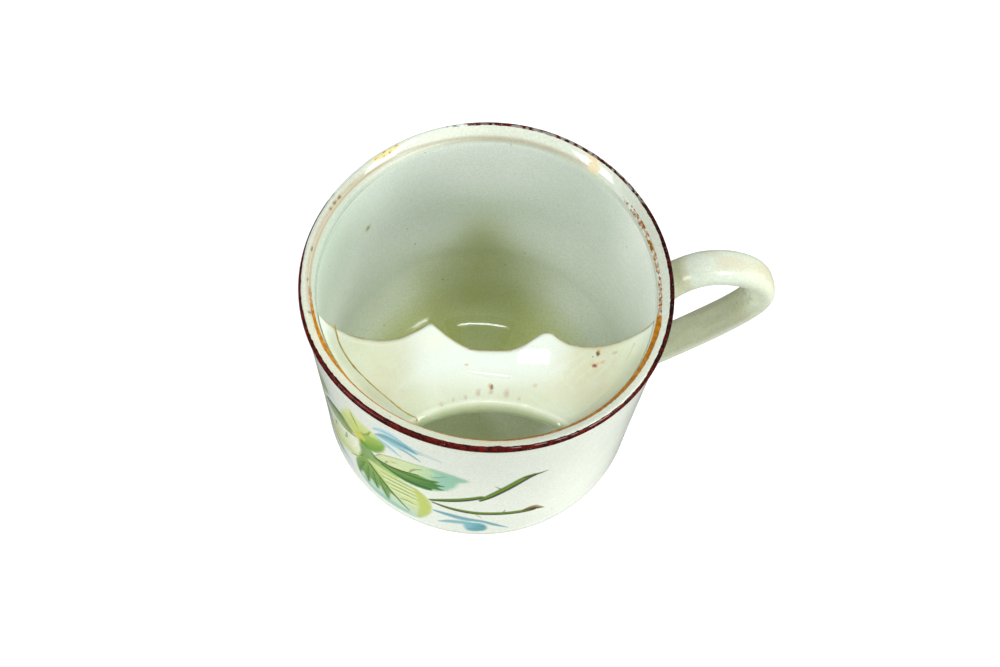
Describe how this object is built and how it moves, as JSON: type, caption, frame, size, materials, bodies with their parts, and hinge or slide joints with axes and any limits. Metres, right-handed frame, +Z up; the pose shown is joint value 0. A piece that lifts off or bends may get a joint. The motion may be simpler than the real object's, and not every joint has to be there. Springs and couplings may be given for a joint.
{
  "type": "shaving mug",
  "caption": "Porcelain shaving-set cup with a moustache guard across its mouth, a drinking slot, a loop handle, banded rim and painted leaf spray.",
  "frame": {"origin": "under the middle of the whole object, on the surface that the foot ring stands on; the cup's own axis is 13.5 mm from it along -X", "axes": "+X along the handle, away from the cup; +Z up; the guard and its drinking slot are on the -Y side, turned 7 degrees towards -X"},
  "size_m": [0.117, 0.09, 0.072],
  "materials": {
    "body_glaze": "glossy clear glaze over a slightly green white body, with an overglaze painted leaf spray on its outside",
    "guard_glaze": "glossy clear glaze, brown staining in the hollows of the wings",
    "handle_glaze": "glossy clear glaze, olive staining at the roots, traces of worn gilding on top",
    "handle_slip": "glazed slip joint, stained olive",
    "guard_slip": "glazed slip joint",
    "maroon_enamel": "fired dark red-brown enamel, speckled and worn away along the back left",
    "gilt": "fired ochre-gold gilding, worn to specks on the right and to a stain at the back"
  },
  "bodies": {
    "root": {"cup_body": "body_glaze", "moustache_guard": "guard_glaze", "handle": "handle_glaze", "handle_slip_upper": "handle_slip", "handle_slip_lower": "handle_slip", "guard_slip_left": "guard_slip", "guard_slip_right": "guard_slip", "rim_enamel_line": "maroon_enamel", "lip_gilt_line": "gilt", "guard_gilt_line_left": "gilt", "guard_gilt_line_right": "gilt"}
  },
  "joints": []
}
